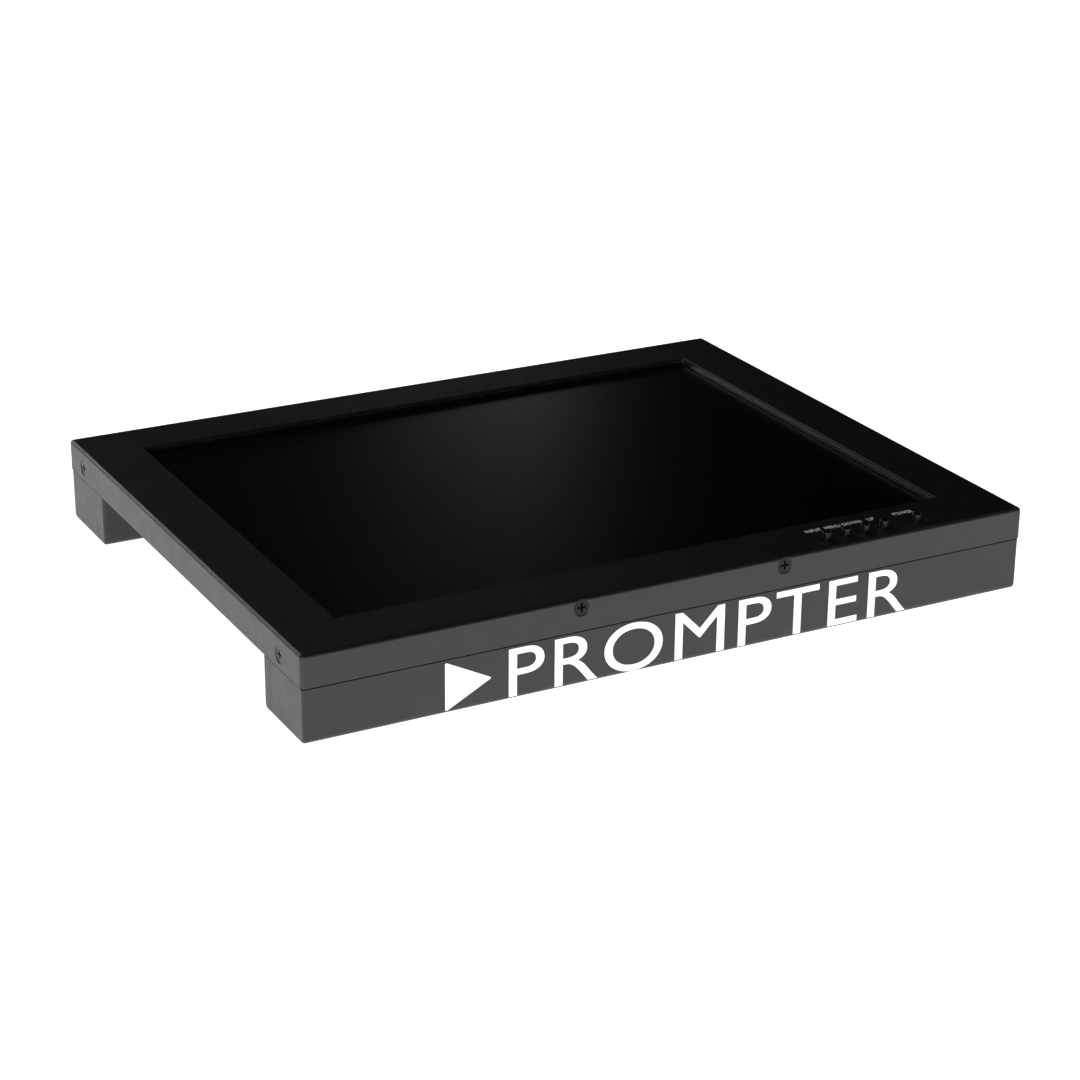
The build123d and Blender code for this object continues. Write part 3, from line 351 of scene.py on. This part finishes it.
def word(name, words, look, place, side, finish):
    # place is the middle of the baseline in mm, on the surface that the word lies on
    curve = bpy.data.curves.new(name, "FONT")
    curve.body, curve.align_x = words, "CENTER"
    curve.extrude = 0.5
    curve.space_character, curve.resolution_u = look["spacing"], look["smooth"]
    letters = bpy.data.objects.new(name, curve)
    bpy.context.collection.objects.link(letters)
    bpy.context.view_layer.update()
    flat = bpy.data.meshes.new_from_object(letters.evaluated_get(bpy.context.evaluated_depsgraph_get()))
    bpy.data.objects.remove(letters)
    bpy.data.curves.remove(curve)
    bm = bmesh.new()
    bm.from_mesh(flat)
    bpy.data.meshes.remove(flat)
    bmesh.ops.remove_doubles(bm, verts=bm.verts, dist=0.0001)
    xs, ys = [v.co.x for v in bm.verts], [v.co.y for v in bm.verts]
    tall = look["height"] / (max(ys) - min(ys))
    wide = look["width"] / (max(xs) - min(xs)) if "width" in look else tall * look["narrow"]
    bmesh.ops.translate(bm, verts=bm.verts, vec=(-(max(xs) + min(xs)) / 2, -min(ys), 0.5))
    bmesh.ops.scale(bm, verts=bm.verts, vec=(wide * mm, tall * mm, look["thick"] * mm))
    bmesh.ops.transform(bm, verts=bm.verts, matrix=Matrix.Translation(Vector(place) * mm) @ facing[side])
    return newPiece(name, bm, finish)


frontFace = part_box("chassis_pan")[0].y / mm
frontLettering = {
    "words": "PROMPTER", "middleX": 16.0, "baseline": 1.3,
    "height": 22.7, "width": 204.0, "spacing": 1.08, "smooth": 8, "thick": 0.12,
}
word("frontWord", frontLettering["words"], frontLettering,
     (frontLettering["middleX"], frontFace, frontLettering["baseline"]), "front", whiteVinyl)

cueMark = {"leftX": -116.0, "width": 22.0, "baseline": 1.3, "height": 22.7, "corner": 1.0, "thick": 0.12}


def makeCueMark():
    # a plain arrowhead, the sign that prompters use for the line to read
    bm = bmesh.new()
    bmesh.ops.create_circle(bm, cap_ends=True, segments=3, radius=1)
    bmesh.ops.rotate(bm, verts=bm.verts, matrix=Matrix.Rotation(math.radians(-90), 3, "Z"))
    xs, ys = [v.co.x for v in bm.verts], [v.co.y for v in bm.verts]
    bmesh.ops.translate(bm, verts=bm.verts, vec=(-min(xs), -min(ys), 0))
    bmesh.ops.scale(bm, verts=bm.verts, vec=(cueMark["width"] * mm / (max(xs) - min(xs)),
                                             cueMark["height"] * mm / (max(ys) - min(ys)), 1))
    bmesh.ops.bevel(bm, geom=bm.verts[:], offset=cueMark["corner"] * mm, segments=4, profile=0.5,
                    material=-1, affect="VERTICES")
    raised = bmesh.ops.extrude_face_region(bm, geom=bm.faces[:])["geom"]
    bmesh.ops.translate(bm, verts=[v for v in raised if isinstance(v, bmesh.types.BMVert)],
                        vec=(0, 0, cueMark["thick"] * mm))
    place = Vector((cueMark["leftX"], frontFace, cueMark["baseline"])) * mm
    bmesh.ops.transform(bm, verts=bm.verts, matrix=Matrix.Translation(place) @ facing["front"])
    newPiece("cueMark", bm, whiteVinyl)


makeCueMark()
print("front lettering made")

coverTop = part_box("front_cover")[1].z / mm
keyLabels = {
    "words": {"INPUT": 78.8, "MENU": 89.1, "DOWN": 99.6, "UP": 109.9, "POWER": 127.7},   # middles, mm
    "baseline": -124.6, "height": 2.8, "narrow": 0.77, "spacing": 0.97, "smooth": 3, "thick": 0.03,
}
for words, x in keyLabels["words"].items():
    word("label_" + words.lower(), words, keyLabels, (x, keyLabels["baseline"], coverTop), "up", printedInk)

rearFace = -frontFace
socketLabels = {
    "words": {"VGA": -16.0, "VIDEO_1": -60.0, "VIDEO_2": -86.0, "DC_12V": -116.0},
    "baseline": 21.6, "height": 2.0, "narrow": 1.0, "spacing": 1.05, "smooth": 3, "thick": 0.03,
}
for words, x in socketLabels["words"].items():
    word("label_" + words.lower(), words.replace("_", " "), socketLabels,
         (x, rearFace, socketLabels["baseline"]), "back", printedInk)
print("labels made")

ratingPlate = {
    "middle": (-118.0, 0.0), "size": (64.0, 34.0), "corner": 2.5, "thick": 0.15,
    "frame": 1.6, "slope": 0.15, "pressed": 0.06,  # mm, the border, its inner slope and how deep the middle lies
}


def makeRatingPlate():
    # blank label under the pan, with a pressed border and nothing printed on it
    bm = bmesh.new()
    bmesh.ops.create_grid(bm, x_segments=1, y_segments=1, size=0.5)
    bmesh.ops.scale(bm, verts=bm.verts, vec=(ratingPlate["size"][0] * mm, ratingPlate["size"][1] * mm, 1))
    bmesh.ops.bevel(bm, geom=bm.verts[:], offset=ratingPlate["corner"] * mm, segments=5, profile=0.5,
                    material=-1, affect="VERTICES")
    underside = bm.faces[:]
    raised = bmesh.ops.extrude_face_region(bm, geom=underside)["geom"]
    bmesh.ops.translate(bm, verts=[v for v in raised if isinstance(v, bmesh.types.BMVert)],
                        vec=(0, 0, -ratingPlate["thick"] * mm))
    lowest = [f for f in raised if isinstance(f, bmesh.types.BMFace)]
    for step in (ratingPlate["frame"], ratingPlate["slope"]):
        bmesh.ops.inset_region(bm, faces=lowest, thickness=step * mm)
    bmesh.ops.translate(bm, verts=list({v for f in lowest for v in f.verts}),
                        vec=(0, 0, ratingPlate["pressed"] * mm))
    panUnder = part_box("mount_plate")[1].z
    middleX, middleY = ratingPlate["middle"]
    bmesh.ops.translate(bm, verts=bm.verts, vec=(middleX * mm, middleY * mm, panUnder))
    newPiece("ratingPlate", bm, labelFilm)


makeRatingPlate()


contacts = {
    "coaxial": {"at": [(-86.0, 12.5), (-60.0, 12.5)], "mouth": 137.4, "outer": 0.68, "bore": 0.45, "long": 5.0},
    "video": {"at": [], "mouth": 134.6, "outer": 0.49, "bore": 0.3, "long": 4.0},
}
videoGrid = {"middle": (-16.0, 12.5), "across": 2.29, "rows": 1.98, "stagger": 0.57}
for row in (-1, 0, 1):                     # three rows of five
    for i in range(5):
        contacts["video"]["at"].append((
            videoGrid["middle"][0] + videoGrid["across"] * (i - 2) + videoGrid["stagger"] * row,
            videoGrid["middle"][1] + videoGrid["rows"] * row,
        ))


tiny = 0.001                               # mm, slack when a face is picked by where it lies
boreShare = 0.8                            # how much of a contact's length its bore takes


def makeContacts(name, look):
    bm = bmesh.new()
    for x, z in look["at"]:
        made = bmesh.ops.create_cone(bm, cap_ends=True, segments=16, radius1=look["outer"] * mm,
                                     radius2=look["outer"] * mm, depth=look["long"] * mm)["verts"]
        bmesh.ops.rotate(bm, verts=made, matrix=Matrix.Rotation(math.radians(-90), 3, "X"))
        bmesh.ops.translate(bm, verts=made, vec=(x * mm, (look["mouth"] - look["long"] / 2) * mm, z * mm))
        faces = {f for v in made for f in v.link_faces}
        mouth = [f for f in faces if f.calc_center_median().y > (look["mouth"] - tiny) * mm]
        bmesh.ops.inset_region(bm, faces=mouth, thickness=(look["outer"] - look["bore"]) * mm)
        pushed = bmesh.ops.extrude_face_region(bm, geom=mouth)["geom"]
        bmesh.ops.translate(bm, verts=[v for v in pushed if isinstance(v, bmesh.types.BMVert)],
                            vec=(0, -boreShare * look["long"] * mm, 0))
        bmesh.ops.delete(bm, geom=mouth, context="FACES_ONLY")
    newPiece(name, bm, goldFlash)


for kind, look in contacts.items():
    makeContacts(kind + "Contacts", look)
print("contacts made")


# Floor, light and surroundings. The floor and the far field look white, and light the case only softly.
floorLook = {"size": 14, "seen": 0.97, "white": "#f4f4f4", "below": 0.2}   # metres across, and mm under the feet


def makeFloor():
    bm = bmesh.new()
    bmesh.ops.create_grid(bm, x_segments=1, y_segments=1, size=floorLook["size"] / 2)
    bmesh.ops.translate(bm, verts=bm.verts, vec=(0, 0, -floorLook["below"] * mm))
    mesh = bpy.data.meshes.new("floor")
    bm.to_mesh(mesh)
    bm.free()
    floor = bpy.data.objects.new("floor", mesh)
    bpy.context.collection.objects.link(floor)
    material, tree = startMaterial("whiteSweep")
    white = addNode(tree, "ShaderNodeBsdfDiffuse", {"Color": linear(floorLook["white"])})
    own = addNode(tree, "ShaderNodeEmission", {"Strength": floorLook["seen"]})
    both = addNode(tree, "ShaderNodeAddShader", links={0: white.outputs[0], 1: own.outputs[0]})
    underneath = addNode(tree, "ShaderNodeNewGeometry").outputs["Backfacing"]
    clear = addNode(tree, "ShaderNodeBsdfTransparent")           # seen from below, the floor isn't there
    oneSided = addNode(tree, "ShaderNodeMixShader",
                       links={0: underneath, 1: both.outputs[0], 2: clear.outputs[0]})
    addNode(tree, "ShaderNodeOutputMaterial", links={"Surface": oneSided.outputs[0]})
    mesh.materials.append(material)


makeFloor()

lights = {                                 # degrees clockwise from the back, degrees up, metres, and radiance
    "frontLeft": {"round": 225, "rise": 14, "away": 2.6, "size": (2.2, 1.0), "glow": 3.0},
    "frontFill": {"round": 182, "rise": 25, "away": 2.6, "size": (2.0, 1.2), "glow": 6.2, "fill": True},
    "backLeft": {"round": 342, "rise": 20, "away": 2.6, "size": (1.2, 0.9), "glow": 3.4},
    "backFill": {"round": 5, "rise": 22, "away": 2.6, "size": (2.0, 1.2), "glow": 3.0, "fill": True},
    "backStrip": {"round": 26, "rise": 12, "away": 2.6, "size": (0.22, 0.28), "glow": 0.48},
    "backStripHigh": {"round": 28, "rise": 15, "away": 2.6, "size": (0.10, 0.26), "glow": 0.44},
    "backStripLow": {"round": 22, "rise": 6, "away": 2.6, "size": (0.22, 0.28), "glow": 0.25},
    "right": {"round": 100, "rise": 26, "away": 2.6, "size": (1.6, 1.4), "glow": 0.40},
    "overhead": {"round": 0, "rise": 80, "away": 2.6, "size": (1.6, 1.6), "glow": 0.12},
}


def makeLights():
    middle = Vector((0, 0, 0.03))
    for name, look in lights.items():
        data = bpy.data.lights.new(name, "AREA")
        data.shape = "RECTANGLE"
        data.size, data.size_y = look["size"]
        data.energy = look["glow"] * math.pi * data.size * data.size_y
        lamp = bpy.data.objects.new(name, data)
        aside, up = math.radians(look["round"]), math.radians(look["rise"])
        toLamp = Vector((math.sin(aside) * math.cos(up), math.cos(aside) * math.cos(up), math.sin(up)))
        lamp.location = middle + toLamp * look["away"]
        lamp.rotation_euler = toLamp.to_track_quat("Z", "Y").to_euler()
        lamp.visible_glossy = not look.get("fill", False)        # a fill light gives no shine of its own
        bpy.context.collection.objects.link(lamp)


makeLights()

surroundings = {"seen": 1.0, "reflected": 0.002}


def makeWorld():
    world = bpy.data.worlds.new("studio")
    world.use_nodes = True
    tree = world.node_tree
    tree.nodes.clear()
    far = addNode(tree, "ShaderNodeBackground", {"Strength": surroundings["seen"]})
    far.inputs["Color"].default_value = (1, 1, 1, 1)
    dim = addNode(tree, "ShaderNodeBackground", {"Strength": surroundings["reflected"]})
    dim.inputs["Color"].default_value = (1, 1, 1, 1)
    path = addNode(tree, "ShaderNodeLightPath")
    choice = addNode(tree, "ShaderNodeMixShader", links={0: path.outputs["Is Camera Ray"], 1: dim.outputs[0],
                                                         2: far.outputs[0]})
    addNode(tree, "ShaderNodeOutputWorld", links={"Surface": choice.outputs[0]})
    bpy.context.scene.world = world
    bpy.context.scene.view_settings.view_transform = "Standard"


makeWorld()
print("floor and lights placed")
